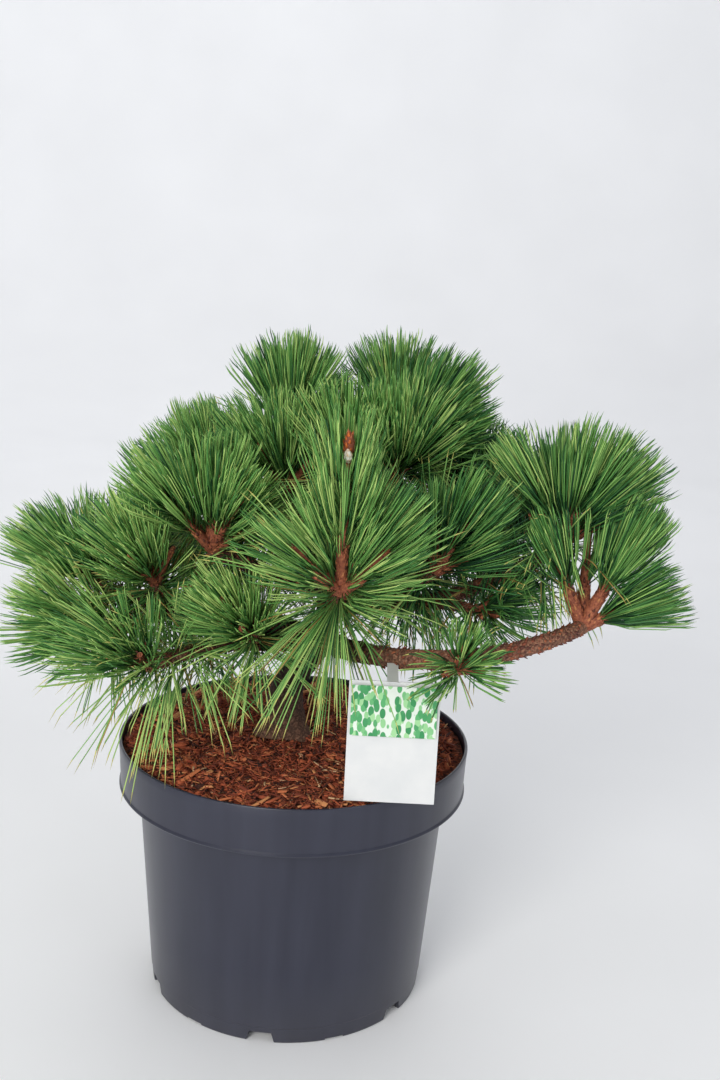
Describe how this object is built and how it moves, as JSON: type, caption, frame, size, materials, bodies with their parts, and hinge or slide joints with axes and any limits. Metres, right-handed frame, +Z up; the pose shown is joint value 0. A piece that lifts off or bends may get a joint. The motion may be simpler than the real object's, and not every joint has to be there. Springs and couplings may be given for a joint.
{
  "type": "potted japanese black pine",
  "caption": "Low, spreading black pine with bent trunk, level boughs and separate tufts of long needles, in a round nursery pot with a wide rim band and a blank hanging label.",
  "frame": {"origin": "middle of the flat underside of the pot, on the surface it stands on", "axes": "+Z up, the front that the picture shows is -Y, +X to the right as seen from the front"},
  "size_m": [0.548, 0.4173, 0.5337],
  "materials": {
    "pot_plastic": "satin moulded polypropylene, dark blue grey",
    "potting_mix": "rough shredded bark mulch, red brown",
    "bark": "scaly pine bark, red brown on young limbs",
    "needles": "long stiff green needles with a waxy sheen",
    "label_card": "smooth white plastic card, blank but for a plain green panel"
  },
  "bodies": {
    "root": {"pot": "pot_plastic", "soil": "potting_mix", "label": "label_card", "trunk": "bark", "bough_right_low": "bark", "bough_right_high": "bark", "bough_right_mid": "bark", "bough_right_back": "bark", "bough_right_under": "bark", "bough_right_tuft": "bark", "bough_left_low": "bark", "bough_left_mid": "bark", "bough_left_up": "bark", "bough_left_far_low": "bark", "bough_left_inner": "bark", "bough_left_high": "bark", "bough_front_left": "bark", "bough_front": "bark", "bough_top_left": "bark", "bough_top_left_front": "bark", "bough_top_back": "bark", "bough_top_right": "bark", "bough_top_right_front": "bark", "bough_back_left_low": "bark", "bough_back_left_high": "bark", "bough_back_low": "bark", "bough_back_high": "bark", "bough_back_right_low": "bark", "bough_back_right_high": "bark", "needles_front": "needles", "needles_front_left": "needles", "needles_left_high": "needles", "needles_left_up": "needles", "needles_left_low": "needles", "needles_left_far_low": "needles", "needles_left_mid": "needles", "needles_right_mid": "needles", "needles_right_high": "needles", "needles_right_low": "needles", "needles_right_tuft": "needles", "needles_right_under": "needles", "needles_left_inner": "needles", "needles_top_centre": "needles", "needles_top_left_front": "needles", "needles_top_left": "needles", "needles_top_right_front": "needles", "needles_top_right": "needles", "needles_top_back": "needles", "needles_right_back": "needles", "needles_back_right_high": "needles", "needles_back_high": "needles", "needles_back_left_high": "needles", "needles_back_right_low": "needles", "needles_back_low": "needles", "needles_back_left_low": "needles"}
  },
  "joints": []
}
